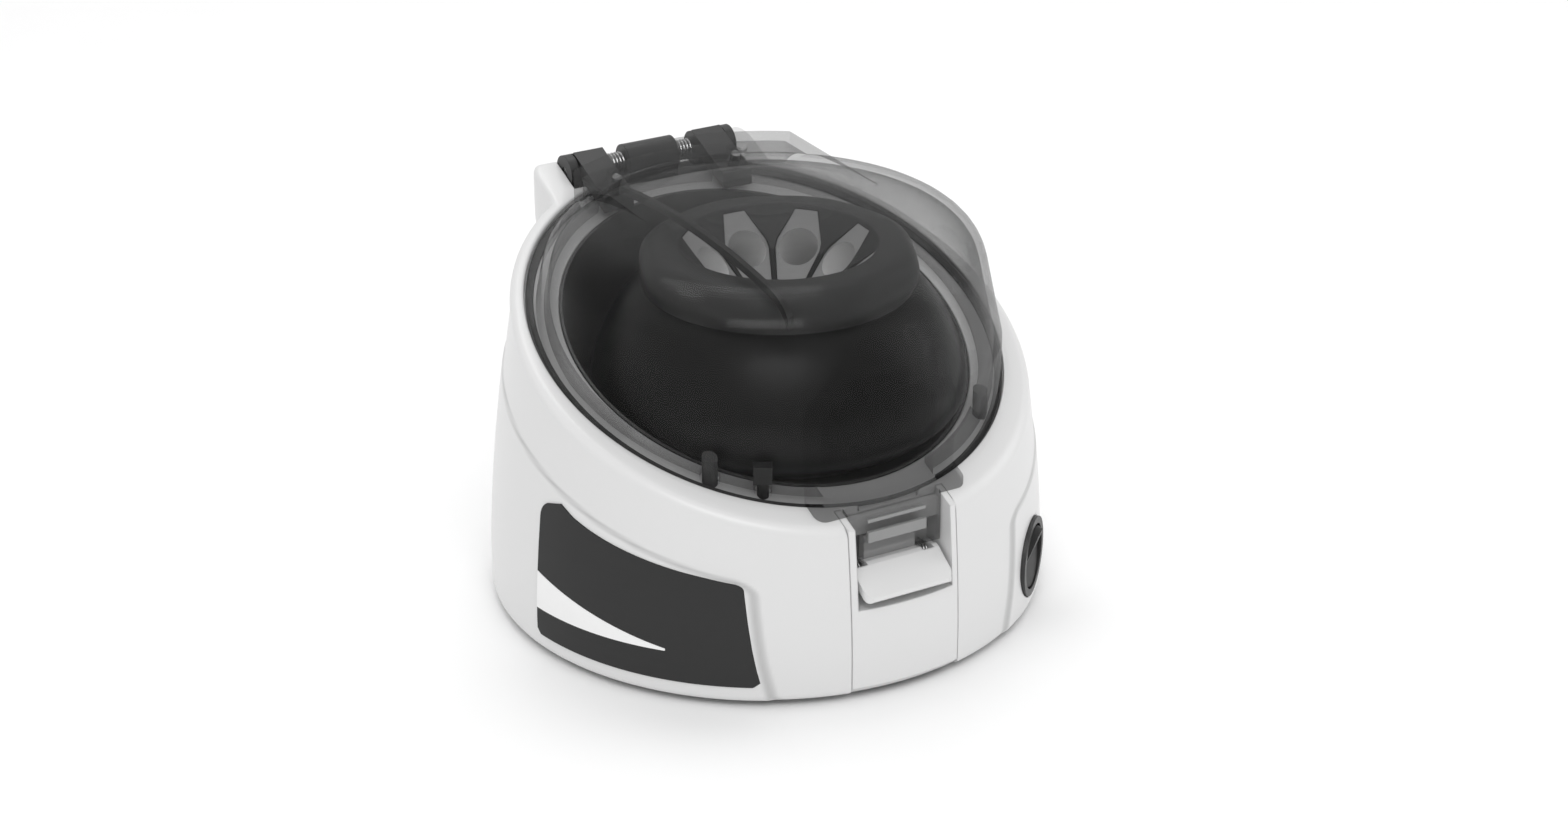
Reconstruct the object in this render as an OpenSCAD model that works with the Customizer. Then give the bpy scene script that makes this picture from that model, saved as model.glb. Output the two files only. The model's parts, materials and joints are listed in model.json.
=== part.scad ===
// Compact laboratory centrifuge: round white housing with a sloping rim, clear hinged lid,
// eight-place angle rotor on a direct-drive motor, front latch, round power switch.
// Millimetres, +Z up, latch towards -Y, hinge towards +Y. The modules are drawn with the rotor axis on Z;
// placed() then puts the middle of the whole object on the origin, at table level.

/* [Body] */
// Radius of the housing at its widest
body_r = 78; // [77:0.5:80]
// Distance from the rotor axis back to the centre of the round housing
body_y = 7.5; // [7:0.25:8]
// Height of the sloping rim above the table, at the rotor axis
rim_z = 75; // [74.5:0.25:76]
// Slope of the rim, rising from the latch to the hinge
rim_tilt = 20.8; // [20.4:0.1:21.2]
// Thickness of the housing wall
wall_t = 2.5; // [2:0.25:3]
// Radius of the gap between the lid and the housing
rim_gap_r = 66.5; // [66:0.25:67]
// Radius of the opening into the chamber
chamber_r = 57; // [56.5:0.25:57.5]

/* [Lid] */
// Greatest height of the lid above the table
lid_top_z = 114.2; // [114:0.1:116]
// Thickness of the lid wall
lid_t = 2.2; // [2:0.1:2.4]
// Opening angle of the lid, for a look at the open centrifuge
lid_open_deg = 0; // [0:5:80]

/* [Rotor] */
// Number of tube places
tube_count = 8; // [6:1:8]
// Radius of a tube bore
tube_bore_r = 5.6; // [5.3:0.05:5.7]
// Depth of a tube bore below its seat
tube_bore_depth = 34; // [30:1:35]
// Angle between a tube and the rotor axis
tube_tilt = 45; // [44:0.5:46]
// Greatest radius of the rotor
rotor_r = 52.2; // [51:0.1:52.5]
// Height of the rotor's top edge above the table
rotor_top_z = 105.4; // [105:0.2:106]

/* [Latch] */
// Width of the front latch column
column_w = 33; // [32:0.5:34]
// Width of the latch lever
lever_w = 27; // [25:0.5:28]

/* [Power] */
// Radius of the round rocker switch
switch_r = 9.4; // [9:0.1:9.8]
// Angle of the rocker switch round the housing from the latch
switch_deg = 43; // [42:1:46]
// Bore of the power socket
socket_r = 2.8; // [2.7:0.05:3]

/* [Hidden] */
$fn = 96;

lever_tip_y = -71.6;
slack = 0.1;               // clearance between parts that only touch
seam = 0.2;                // visible seam between two mouldings
big = 200;                 // larger than the whole object
rim_slope = tan(rim_tilt);

// Housing levels and wall curve
foot_h = 2;
base_t = 2.5;
base_top_z = foot_h + base_t;
wall_start_z = 12;
wall_span = 73;
wall_drop = 7.7;
shoulder_r = 70.5;
housing_top_z = 112;
edge_r = 2;
cheek_t = 0.5;
ledge_drop = 2;
ledge_t = 3;
bowl_wall = 0.8;
bowl_floor_z = 40;

// Base screws and feet, as angles round the housing from +X
screw_ring_r = body_r - 8.5;
screw_angles = [-12, 50, 130, 192];
foot_ring_r = 56;
foot_angles = [45, 135, 225, 315];

// Switch, socket and lid interlock
switch_z = 17;
switch_face = body_r - 0.5;
rocker_deg = 14;
trunnion_r = 1.2;
socket_z = 14;
plunger_r = 1.6;
plunger_deg = -30;
plunger_ring_r = 61.6;
switch_ring_r = 63.4;
plunger_rim_z = rim_z + rim_slope * (body_y - plunger_ring_r * cos(plunger_deg));

// Hinge
hinge_y = 77.5;
hinge_z = rim_z + rim_slope * hinge_y;
knuckle_r = 5;
pin_r = 1.5;
pin_bore_r = 1.55;
hinge_half_w = 27;
arm_in_x = 14.6;
arm_out_x = 24;
arm_low = 0.8;
arm_high = 5.2;
arm_front_y = 58;
lid_screw_x = 19.3;
lid_screw_y = 62.5;
hinge_floor_z = 96;

// Lid curve
lid_seat_r = rim_gap_r - 0.7;
lid_foot_z = 40;
lid_wall_z = 76;
lid_corner_r = 16;
lid_corner_c = [45.5, lid_top_z - 19.7];
lid_corner_from = 12;
lid_corner_to = 81;
lid_sink = 1.2;
lid_ring_r = 59.5;
bay_r = 61;
bay_top_z = lid_top_z - 1.9;
bay_left_x = -33;
bay_right_x = 36;
tongue_w = 28;
tongue_front_y = -62.6;
tongue_t = 2.2;
tongue_low_z = 38.6;
flange_w = 46;
flange_front_y = -61.6;

// Latch pocket and lever
pocket_w = 29.2;
pocket_floor_z = 27;
pocket_back_y = -55.2;
panel_back_y = -53.3;
panel_step_z = 46.5;
channel_back_y = -60.2;
latch_y = -58.5;
latch_z = 34.2;
lever_hub_r = 2.6;

// Motor and drive
motor_r = 18.4;
motor_low_z = 7.5;
motor_top_z = 34.4;
shaft_r = 2.5;
boss_top_z = 37.4;
plate_low_z = 34.5;
plate_t = 2.5;
post_ring_r = 27;
seat_r = 18.6;
seat_z = rotor_top_z - (27.9 - seat_r);
seat_turn = 43.3;
sleeve_t = 0.8;
hub_r = 9;

// Radius of the housing wall at height z
function wall_r(z) =
    max(body_r - wall_drop * pow(max(0, z - wall_start_z) / wall_span, 1.5), shoulder_r);

// Points of an arc in the profile plane
function arc(c, r, from, to, steps) =
    [for (i = [0:steps]) let (a = from + (to - from) * i / steps) [c[0] + r * cos(a), c[1] + r * sin(a)]];

// Housing profile moved inwards by inset, from height low upwards
function housing_profile(inset, low) = concat(
    [[0, low], [wall_r(low) - inset - edge_r, low]],
    [for (z = [low + edge_r, wall_start_z, for (k = [18:8:82]) k, 90, housing_top_z]) [wall_r(z) - inset, z]],
    [[0, housing_top_z]]
);

// Lid profile moved inwards by inset
function lid_profile(inset) = concat(
    [[0, lid_foot_z - inset], [lid_seat_r - inset, lid_foot_z - inset], [lid_seat_r - inset, lid_wall_z]],
    arc(lid_corner_c, lid_corner_r - inset, lid_corner_from, lid_corner_to, 8),
    [for (r = [40:-10:0]) [r, lid_top_z - inset - dome_fall(r)]]
);

// Fall of the domed lid top below its centre at radius r
function dome_fall(r) = 0.0017 * r * r;

module about_body(z = 0) {
    translate([0, body_y, z]) children();
}

module above_rim(offset) {
    translate([0, 0, rim_z + offset / cos(rim_tilt)]) rotate([rim_tilt, 0, 0])
        translate([-big, -big, 0]) cube([2 * big, 2 * big, big]);
}

module below_rim(offset) {
    translate([0, 0, rim_z + offset / cos(rim_tilt)]) rotate([rim_tilt, 0, 0])
        translate([-big, -big, -big]) cube([2 * big, 2 * big, big]);
}

// A block given by its low and high corner
module block(low, high) {
    translate(low) cube(high - low);
}

// A rod along X through the point (y, z)
module rod_x(x0, x1, y, z, r) {
    translate([x0, y, z]) rotate([0, 90, 0]) cylinder(h = x1 - x0, r = r);
}

module housing_solid(inset, low) {
    about_body() rotate_extrude() polygon(housing_profile(inset, low));
}

module lid_solid(inset) {
    about_body() rotate_extrude() polygon(lid_profile(inset));
}

// Raised rear of the lid over the hinge arms, moved inwards by inset
module bay_solid(inset) {
    intersection() {
        about_body() cylinder(h = bay_top_z - inset, r = bay_r - inset);
        block([bay_left_x + inset, body_y, 60], [bay_right_x - inset, 90, 130]);
    }
}

// Places children on the wall at an angle from the latch, with +Z pointing outwards and +Y up
module on_wall(deg, z) {
    about_body(z) rotate([0, 0, deg]) rotate([90, 0, 0]) children();
}

// Places children at several angles round the housing
module round_body(angles, r) {
    for (a = angles) about_body() rotate([0, 0, a]) translate([r, 0, 0]) children();
}

// Places children on the rim plane, with +Z square to it
module on_rim(x, y) {
    translate([x, y, rim_z + rim_slope * y]) rotate([rim_tilt, 0, 0]) children();
}

module ring(n, r, start = 0) {
    for (i = [0:n - 1]) rotate([0, 0, start + i * 360 / n]) translate([r, 0, 0]) children();
}

function unit(v) = v / norm(v);

// A round wire along a list of points
module wire(path, r) {
    sides = 8;
    n = len(path);
    tangent = [for (i = [0:n - 1]) unit(path[min(i + 1, n - 1)] - path[max(i - 1, 0)])];
    side = [for (t = tangent) unit(cross(t, abs(t[0]) > 0.9 ? [0, 1, 0.02] : [1, 0.02, 0]))];
    points = [for (i = [0:n - 1]) for (j = [0:sides - 1])
        path[i] + r * (cos(j * 360 / sides) * side[i] + sin(j * 360 / sides) * cross(tangent[i], side[i]))];
    ends = [[for (j = [0:sides - 1]) j], [for (j = [sides - 1:-1:0]) (n - 1) * sides + j]];
    walls = [for (i = [0:n - 2]) for (j = [0:sides - 1]) let (k = (j + 1) % sides)
        [i * sides + j, (i + 1) * sides + j, (i + 1) * sides + k, i * sides + k]];
    polyhedron(points = points, faces = concat(ends, walls), convexity = 6);
}

// Points of a coil along X, with straight legs at both ends
function coil_x(x0, y, z, r, pitch, turns, leg_from, leg_to, leg_len) = concat(
    [[x0, y + r * cos(leg_from) - leg_len * sin(leg_from), z + r * sin(leg_from) + leg_len * cos(leg_from)]],
    [for (i = [0:turns * 16]) let (a = leg_from - i * 360 / 16)
        [x0 + pitch * i / 16, y + r * cos(a), z + r * sin(a)]],
    [[x0 + pitch * turns, y + r * cos(leg_to) + leg_len * sin(leg_to),
        z + r * sin(leg_to) - leg_len * cos(leg_to)]]
);

// ---- Housing ----

// Side fields that stand proud of the wall, seen along X
module cheek_field() {
    rotate([90, 0, 90]) linear_extrude(height = 2 * big, center = true)
        polygon([[-62.4, foot_h + 1], [-58.6, 34.6], [-57.6, 36.6], [-55, 37.9], [58, 75], [62, 72], [66, foot_h + 1]]);
}

module cheeks() {
    intersection() {
        housing_solid(-cheek_t, foot_h);
        cheek_field();
    }
}

// Smooth swelling of the rear wall that carries the hinge
module hinge_bulge() {
    intersection() {
        rotate([90, 0, 90]) linear_extrude(height = 2 * hinge_half_w + 6, center = true)
            polygon(concat([[60, 40], [77.2, 40]], arc([40, 91], 44, -34, 0, 8), [[84, 106], [60, 106]]));
        translate([0, 40, 0]) cylinder(h = 110, r = 52);
    }
}

module main_housing() color("white") {
    difference() {
        intersection() {
            union() {
                housing_solid(0, foot_h);
                cheeks();
                hinge_bulge();
            }
            below_rim(0);
        }
        difference() {
            intersection() {
                housing_solid(wall_t, -edge_r);
                below_rim(-ledge_drop - ledge_t);
            }
            plunger_at(switch_ring_r) for (x = [-8.5, 6.5]) translate([x, -2.9, -5]) cube([2, 5.8, 30]);
            round_body(screw_angles, screw_ring_r) difference() {
                cylinder(h = 30, r = 7);
                cylinder(h = 18, r = 1.6);
                translate([0, 0, -1]) cylinder(h = base_top_z + 1 + slack, r = 8);
            }
        }
        intersection() {
            about_body(20) cylinder(h = big, r = rim_gap_r);
            above_rim(-ledge_drop);
        }
        about_body(bowl_floor_z) cylinder(h = big, r = chamber_r);
        block([-column_w / 2 - seam, -big, 0], [column_w / 2 + seam, panel_back_y + 0.3, panel_step_z + 0.3]);
        block([-column_w / 2 - seam, -big, panel_step_z], [column_w / 2 + seam, -58.4, big]);
        block([-hinge_half_w - seam, hinge_y - 6.9, hinge_floor_z], [hinge_half_w + seam, big, big]);
        on_wall(switch_deg, switch_z) cylinder(h = 60 + body_r, r = switch_r + 0.8);
        on_wall(switch_deg, switch_z) translate([0, 0, switch_face - 0.1]) cylinder(h = 20, r = switch_r + 2.3);
        on_wall(180, socket_z) cylinder(h = 100, r = 5.1);
        plunger_at() cylinder(h = 60, r = plunger_r + 0.15);
    }
}

module base_plate() color("gainsboro") {
    difference() {
        union() {
            about_body(foot_h) cylinder(h = base_t, r = body_r - wall_t - edge_r - 0.3);
            ring(3, post_ring_r, 90) translate([0, 0, base_top_z - 1]) cylinder(h = 26.5, r = 4);
            for (x = [-22, 22]) for (y = [40, 66]) translate([x, y, base_top_z - 1]) cylinder(h = 5, r = 2.8);
        }
        block([-column_w / 2 - 1, -big, 0], [column_w / 2 + 1, panel_back_y + 0.3, 20]);
        round_body(screw_angles, screw_ring_r) cylinder(h = 9, r = 1.8);
        round_body(foot_angles, foot_ring_r) translate([0, 0, -1]) cylinder(h = 4, r = 7);
        for (x = [-20:8:20]) block([x - 1.5, -12, 0], [x + 1.5, 20, base_top_z + 5]);
        ring(3, post_ring_r, 90) translate([0, 0, 15]) cylinder(h = 30, r = 1.25);
        for (x = [-22, 22]) for (y = [40, 66]) translate([x, y, base_top_z]) cylinder(h = 8, r = 1.05);
    }
}

module rubber_feet() color("dimgray") {
    round_body(foot_angles, foot_ring_r) rotate_extrude()
        polygon([[0, 0], [5.8, 0], [6.8, 1], [6.8, 2.9], [0, 2.9]]);
}

module base_screws() color("silver") {
    round_body(screw_angles, screw_ring_r) screw(1.5, 12, 2.9, foot_h - 1.35);
}

// A pan-head screw whose shank points up from height z
module screw(r, length, head_r, z) {
    head_h = 1.3;
    translate([0, 0, z]) difference() {
        union() {
            cylinder(h = head_h, r = head_r);
            cylinder(h = head_h + length, r = r);
        }
        for (a = [0, 90]) rotate([0, 0, a]) translate([-head_r * 0.6, -0.3, -0.1]) cube([head_r * 1.2, 0.6, 0.7]);
    }
}

module front_panel() color("white") {
    difference() {
        intersection() {
            housing_solid(0, foot_h);
            below_rim(0);
            union() {
                block([-column_w / 2, -big, foot_h], [column_w / 2, panel_back_y, panel_step_z]);
                block([-column_w / 2, -big, foot_h], [column_w / 2, -58.8, big]);
            }
        }
        block([-pocket_w / 2, -big, pocket_floor_z], [pocket_w / 2, pocket_back_y, 44.7]);
        block([-pocket_w / 2, -big, 44], [pocket_w / 2, channel_back_y, big]);
        intersection() {
            block([-pocket_w / 2, -big, 0], [pocket_w / 2, panel_back_y + 5, pocket_floor_z - 3]);
            housing_solid(wall_t, -edge_r);
        }
        intersection() {
            block([-pocket_w / 2, -big, 0], [pocket_w / 2, -50, big]);
            above_rim(-2.2);
            about_body() cylinder(h = big, r = rim_gap_r + 3.2);
        }
        rod_x(-16, 16, latch_y, latch_z, pin_bore_r);
    }
}

// Outline of the label seen along X, as [y, z]
module label_outline(inset) {
    front = -57.6 + inset;
    back = -4 - inset;
    low = 7 + inset;
    polygon(concat(
        [[back - 1.5, low], [back, low + 1.5]],
        arc([back - 5, 42.5 - inset], 5, 0, 60, 5),
        [for (i = [0:8]) let (t = i / 8) [-12 - 38 * t, 48.6 - inset - 10.4 * pow(t, 0.72)]],
        arc([front + 3, 34.8 - inset], 2.2, 110, 170, 4),
        [[front - 2.6, low + 1.2], [front - 1.8, low]]
    ));
}

module label_skin(low, high) {
    difference() {
        housing_solid(-high, foot_h);
        housing_solid(-low, foot_h - 1);
        block([0, -big, -1], [big, big, big]);
    }
}

module label_plate() color([0.2, 0.2, 0.2]) {
    intersection() {
        label_skin(cheek_t + 0.02, cheek_t + 0.4);
        rotate([90, 0, 90]) linear_extrude(height = 2 * big, center = true) label_outline(0);
    }
}

// A plain tapered stripe along the label
module label_stripe() color("white") {
    intersection() {
        label_skin(cheek_t + 0.41, cheek_t + 0.55);
        rotate([90, 0, 90]) linear_extrude(height = 2 * big, center = true)
            polygon([[-4.2, 15], [-4.2, 26], [-44, 16.4], [-44, 15.8]]);
    }
}

// ---- Chamber ----

module bowl_shape(r, floor_z) {
    about_body() rotate_extrude()
        polygon(concat([[0, floor_z]], arc([r - 12, floor_z + 12], 12, -90, 0, 6), [[r, big], [0, big]]));
}

module chamber_bowl() color([0.1, 0.1, 0.1]) {
    bowl_r = chamber_r - 0.2;
    difference() {
        union() {
            intersection() {
                bowl_shape(bowl_r, bowl_floor_z);
                below_rim(-ledge_drop + 0.1);
            }
            intersection() {
                about_body(30) cylinder(h = 90, r = bowl_r + 4);
                above_rim(-ledge_drop - ledge_t - 2.4);
                below_rim(-ledge_drop - ledge_t - 0.1);
            }
        }
        bowl_shape(bowl_r - bowl_wall, bowl_floor_z + bowl_wall);
        translate([0, 0, 30]) cylinder(h = 20, r = 10);
        plunger_at() cylinder(h = 60, r = plunger_r + 0.3);
    }
}

module rim_seal() color([0.15, 0.15, 0.15]) {
    difference() {
        intersection() {
            about_body(30) cylinder(h = 90, r = rim_gap_r - 0.3);
            above_rim(-ledge_drop + 0.05);
            below_rim(-lid_sink - 0.1);
        }
        about_body(20) cylinder(h = 120, r = rim_gap_r - 2.5);
        block([-column_w / 2 - 1, -big, 0], [column_w / 2 + 1, -40, big]);
        block([-hinge_half_w - 1, 50, 0], [hinge_half_w + 1, big, big]);
    }
}

// ---- Motor ----

module motor_can() color("lightslategray") {
    difference() {
        union() {
            translate([0, 0, motor_low_z]) cylinder(h = motor_top_z - motor_low_z, r = motor_r);
            translate([0, 0, motor_top_z - 1]) cylinder(h = boss_top_z - motor_top_z + 1, r = 7);
        }
        translate([0, 0, motor_low_z - 1]) cylinder(h = motor_top_z - motor_low_z - 0.2, r = motor_r - 1.2);
        translate([0, 0, motor_top_z - 3]) cylinder(h = 10, r = 6);
        ring(2, 13) translate([0, 0, motor_top_z - 3]) cylinder(h = 10, r = 1.25);
    }
}

module motor_magnets() color("dimgray") {
    for (side = [0, 180]) rotate([0, 0, side]) difference() {
        translate([0, 0, 14]) cylinder(h = 16, r = motor_r - 1.25);
        translate([0, 0, 13]) cylinder(h = 18, r = 13.4);
        for (a = [-65, 65]) rotate([0, 0, a]) translate([0, a > 0 ? 0 : -2 * motor_r, 13])
            translate([-motor_r * 2, 0, 0]) cube([4 * motor_r, 2 * motor_r, 18]);
        translate([-2 * motor_r, -motor_r, 13]) cube([2 * motor_r, 2 * motor_r, 18]);
    }
}

module motor_end_cap() color("whitesmoke") {
    difference() {
        translate([0, 0, motor_low_z - 0.5]) cylinder(h = 4, r = motor_r - 1.25);
        translate([0, 0, motor_low_z + 0.4]) cylinder(h = 10, r = 5.05);
        for (x = [-11, 11]) translate([x - 0.5, -2, 0]) cube([1, 4, 20]);
    }
}

module motor_bearings() color("goldenrod") {
    for (z = [motor_low_z + 0.5, boss_top_z - 3.6]) translate([0, 0, z]) difference() {
        cylinder(h = z > 20 ? 3.5 : 3, r = z > 20 ? 5.95 : 5);
        translate([0, 0, -1]) cylinder(h = 6, r = shaft_r + 0.05);
    }
}

module motor_shaft() color("silver") {
    translate([0, 0, motor_low_z + 0.7]) cylinder(h = 84 - motor_low_z - 0.7, r = shaft_r);
    translate([0, 0, 83.9]) cylinder(h = 5, r = 2);
}

module motor_armature() color("sienna") {
    difference() {
        translate([0, 0, 16]) cylinder(h = 12, r = 12.8);
        translate([0, 0, 10]) cylinder(h = 30, r = shaft_r + 0.02);
        ring(5, 9.5) translate([0, -0.6, 10]) cube([6, 1.2, 30]);
        ring(5, 8.2) translate([0, 0, 10]) cylinder(h = 30, r = 2.2);
    }
}

module commutator() color("peru") {
    difference() {
        translate([0, 0, 12.2]) cylinder(h = 3.4, r = 4.6);
        translate([0, 0, 10]) cylinder(h = 30, r = shaft_r + 0.02);
        ring(5, 3.6) translate([0, -0.2, 12]) cube([3, 0.4, 5]);
    }
}

module motor_mount_plate() color("silver") {
    difference() {
        union() {
            translate([0, 0, plate_low_z]) cylinder(h = plate_t, r = 22);
            ring(3, post_ring_r / 2, 90) translate([0, -6, plate_low_z]) cube([post_ring_r / 2, 12, plate_t]);
            ring(3, post_ring_r, 90) translate([0, 0, plate_low_z]) cylinder(h = plate_t, r = 6);
        }
        cylinder(h = 60, r = 7.2);
        ring(2, 13) cylinder(h = 60, r = 1.6);
        ring(3, post_ring_r, 90) cylinder(h = 60, r = 1.7);
    }
}

module motor_screws() color("gray") {
    ring(2, 13) translate([0, 0, plate_low_z + plate_t + 1.35]) mirror([0, 0, 1]) screw(1.2, 4.2, 2.3, 0);
}

module motor_bushes() color([0.2, 0.2, 0.2]) {
    ring(3, post_ring_r, 90) translate([0, 0, base_top_z + 25.5]) difference() {
        cylinder(h = plate_low_z - base_top_z - 25.5, r = 5);
        translate([0, 0, -1]) cylinder(h = 20, r = 1.7);
    }
}

module bush_screws() color("gray") {
    ring(3, post_ring_r, 90) translate([0, 0, plate_low_z + plate_t + 1.35]) mirror([0, 0, 1]) screw(1.2, 14, 2.9, 0);
}

// ---- Electrics ----

module circuit_board() color("darkgreen") {
    difference() {
        block([-26, 36, 8.6], [26, 70, 10.2]);
        for (x = [-22, 22]) for (y = [40, 66]) translate([x, y, 0]) cylinder(h = 20, r = 1.4);
    }
}

module board_screws() color("silver") {
    for (x = [-22, 22]) for (y = [40, 66]) translate([x, y, 11.6]) mirror([0, 0, 1]) screw(1, 5, 2, 0);
}

module board_components() color([0.15, 0.15, 0.15]) {
    translate([-12, 46, 10.25]) cylinder(h = 14, r = 5);
    translate([-12, 60, 10.25]) cylinder(h = 11, r = 4);
    block([-2, 42, 10.25], [8, 50, 12.6]);
    block([12, 50, 10.25], [20, 60, 15]);
    block([-2, 56, 10.25], [6, 66, 18]);
}

module dc_socket() color([0.12, 0.12, 0.12]) {
    difference() {
        union() {
            on_wall(180, socket_z) translate([0, 0, 66]) cylinder(h = 11.8, r = 5);
            block([-7, 66, socket_z - 3.6], [7, body_y + body_r - wall_t - 3, socket_z + 6]);
        }
        on_wall(180, socket_z) translate([0, 0, 68.5]) cylinder(h = 30, r = socket_r);
    }
    on_wall(180, socket_z) translate([0, 0, 66]) cylinder(h = 10.5, r = 1);
}

module wiring() color("firebrick") {
    for (s = [-1, 1]) wire([for (t = [0:0.125:1])
        [s * (20.5 - 4 * t), 2 + 32 * t, 10.5 + 5 * sin(180 * t)]], 0.7);
    wire([for (t = [0:0.1:1]) [24 + 20 * t - 3 * sin(180 * t), 55 - 70 * t, 12.5 + 6 * sin(180 * t)]], 0.7);
    wire([for (t = [0:0.1:1]) [-28 - 14 * sin(180 * t), 52 - 86 * t, 12 + 26 * t + 4 * sin(180 * t)]], 0.7);
}

module switch_bezel() color([0.12, 0.12, 0.12]) {
    on_wall(switch_deg, switch_z) difference() {
        union() {
            translate([0, 0, switch_face]) cylinder(h = 1.2, r = switch_r + 2);
            translate([0, 0, switch_face - 8]) cylinder(h = 8.5, r = switch_r + 0.6);
        }
        translate([0, 0, switch_face - 9]) cylinder(h = 20, r = switch_r);
        trunnions(12, trunnion_r + 0.06);
    }
}

module switch_body() color([0.15, 0.15, 0.15]) {
    on_wall(switch_deg, switch_z) {
        translate([-7, -8, switch_face - 20]) cube([14, 16, 7.8]);
        translate([0, 0, switch_face - 12.4]) cylinder(h = 4.2, r = switch_r + 0.4);
        for (y = [-5, 0, 5]) translate([-2.4, y - 0.4, switch_face - 27]) cube([4.8, 0.8, 7.2]);
    }
}

// Pivots of the rocker, on both sides of it
module trunnions(reach, r) {
    translate([-reach, 0, switch_face - 2]) rotate([0, 90, 0]) cylinder(h = 2 * reach, r = r);
}

// The rocker is drawn with its lower half pressed in
module switch_rocker() color([0.08, 0.08, 0.08]) {
    on_wall(switch_deg, switch_z) {
        translate([0, 0, switch_face - 2]) intersection() {
            sphere(r = switch_r - 0.2);
            rotate([rocker_deg / 2, 0, 0]) rotate([0, -90, 0]) rotate([0, 0, 180])
                linear_extrude(height = 30, center = true)
                polygon([[4.4, -12], [-4.6, -12], [-2.2, 0], [-4.6, 12], [4.4, 12]]);
        }
        trunnions(switch_r + 0.45, trunnion_r);
    }
}

module plunger_at(r = plunger_ring_r) {
    about_body() rotate([0, 0, plunger_deg]) translate([0, -r, 42]) children();
}

module interlock_switch() color("dimgray") {
    plunger_at(switch_ring_r) translate([-6.4, -2.9, -5]) cube([12.8, 5.8, 7.4]);
}

module interlock_plunger() color([0.3, 0.3, 0.3]) {
    plunger_at() translate([0, 0, 2.6]) cylinder(h = plunger_rim_z + 1.6 - 44.6, r = plunger_r);
}

module lid_pusher() color([0.25, 0.25, 0.25]) {
    intersection() {
        plunger_at() translate([-2.5, -3, plunger_rim_z + 1.75 - 42]) cube([5, 4.7, 5]);
        lid_solid(lid_t + 0.02);
    }
}

// ---- Hinge ----

module hinge_bracket() color([0.2, 0.2, 0.2]) {
    difference() {
        union() {
            block([-hinge_half_w, hinge_y - 6.5, hinge_floor_z + 0.1], [hinge_half_w, 83, hinge_floor_z + 2.4]);
            for (x = [[-8, 8], [-hinge_half_w, -arm_out_x - 0.3], [arm_out_x + 0.3, hinge_half_w]]) {
                rod_x(x[0], x[1], hinge_y, hinge_z, knuckle_r);
                block([x[0], hinge_y - 4, hinge_floor_z + 1], [x[1], hinge_y + 4, hinge_z]);
            }
        }
        rod_x(-40, 40, hinge_y, hinge_z, pin_bore_r);
    }
}

module hinge_pin() color("silver") {
    rod_x(-hinge_half_w + 0.3, hinge_half_w - 0.3, hinge_y, hinge_z, pin_r);
}

module lid_springs() color("silver") {
    for (side = [0, 1]) mirror([side, 0, 0])
        wire(coil_x(8.8, hinge_y, hinge_z, 2.7, 1.05, 4.75, 180, 270, 4), 0.45);
}

module lid_hinge_arms() color([0.15, 0.15, 0.15]) {
    for (side = [0, 1]) mirror([side, 0, 0]) difference() {
        union() {
            intersection() {
                block([arm_in_x, arm_front_y, 90], [arm_out_x, hinge_y, 120]);
                above_rim(arm_low);
                below_rim(arm_high);
            }
            rod_x(arm_in_x, arm_out_x, hinge_y, hinge_z, knuckle_r);
        }
        rod_x(10, 30, hinge_y, hinge_z, pin_bore_r);
        on_rim(lid_screw_x, lid_screw_y) cylinder(h = 40, r = 1.6, center = true);
    }
}

module lid_screws() color("silver") {
    for (side = [0, 1]) mirror([side, 0, 0])
        on_rim(lid_screw_x, lid_screw_y) screw(1.4, 9, 2.4, arm_low - 1.35);
}

// ---- Lid ----

// Plate round the tongue that lies over the housing shoulder
module lid_flange() {
    intersection() {
        union() {
            block([-flange_w / 2, flange_front_y + 3, 30], [flange_w / 2, -54, 80]);
            block([-flange_w / 2 + 3, flange_front_y, 30], [flange_w / 2 - 3, -54, 80]);
            for (x = [-1, 1]) translate([x * (flange_w / 2 - 3), flange_front_y + 3, 30]) cylinder(h = 50, r = 3);
        }
        above_rim(0.15);
        below_rim(1.6);
    }
}

// Flange inside the rim of the lid
module lid_ring() {
    difference() {
        intersection() {
            about_body(20) cylinder(h = big, r = lid_seat_r - 0.1);
            below_rim(0.4);
        }
        about_body(10) cylinder(h = big, r = lid_ring_r);
        block([-column_w / 2 - 0.5, -big, 0], [column_w / 2 + 0.5, -40, big]);
        plunger_at() cylinder(h = 60, r = plunger_r + 0.8);
        lid_bumper_rods(2.7);
    }
}

// Dome, raised rear, flanges and the root of the tongue, down to the lower edge of the lid
module lid_walls() {
    difference() {
        union() {
            lid_solid(0);
            lid_flange();
        }
        lid_solid(lid_t);
    }
    difference() {
        bay_solid(0);
        bay_solid(lid_t);
        lid_solid(lid_t);
    }
    lid_ring();
    intersection() {
        block([-tongue_w / 2, tongue_front_y, 30], [tongue_w / 2, -58.6, 80]);
        below_rim(1.4);
    }
}

module lid_shell() color([0.5, 0.5, 0.5, 0.45]) {
    difference() {
        union() {
            intersection() {
                lid_walls();
                above_rim(-lid_sink);
            }
            intersection() {
                block([-tongue_w / 2, tongue_front_y, tongue_low_z],
                    [tongue_w / 2, tongue_front_y + tongue_t, 80]);
                below_rim(1.4);
            }
            intersection() {
                for (side = [-1, 1]) on_rim(side * lid_screw_x, lid_screw_y) cylinder(h = 40, r = 3);
                bay_solid(lid_t / 2);
            }
        }
        for (side = [0, 1]) mirror([side, 0, 0]) intersection() {
            block([arm_in_x - 0.3, arm_front_y - 0.3, 80], [arm_out_x + 0.3, big, 130]);
            below_rim(arm_high + 0.1);
        }
        rod_x(-hinge_half_w - 0.5, hinge_half_w + 0.5, hinge_y, hinge_z, knuckle_r + 0.5);
        for (side = [-1, 1]) on_rim(side * lid_screw_x, lid_screw_y) cylinder(h = 11, r = 1.45);
    }
}

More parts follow.
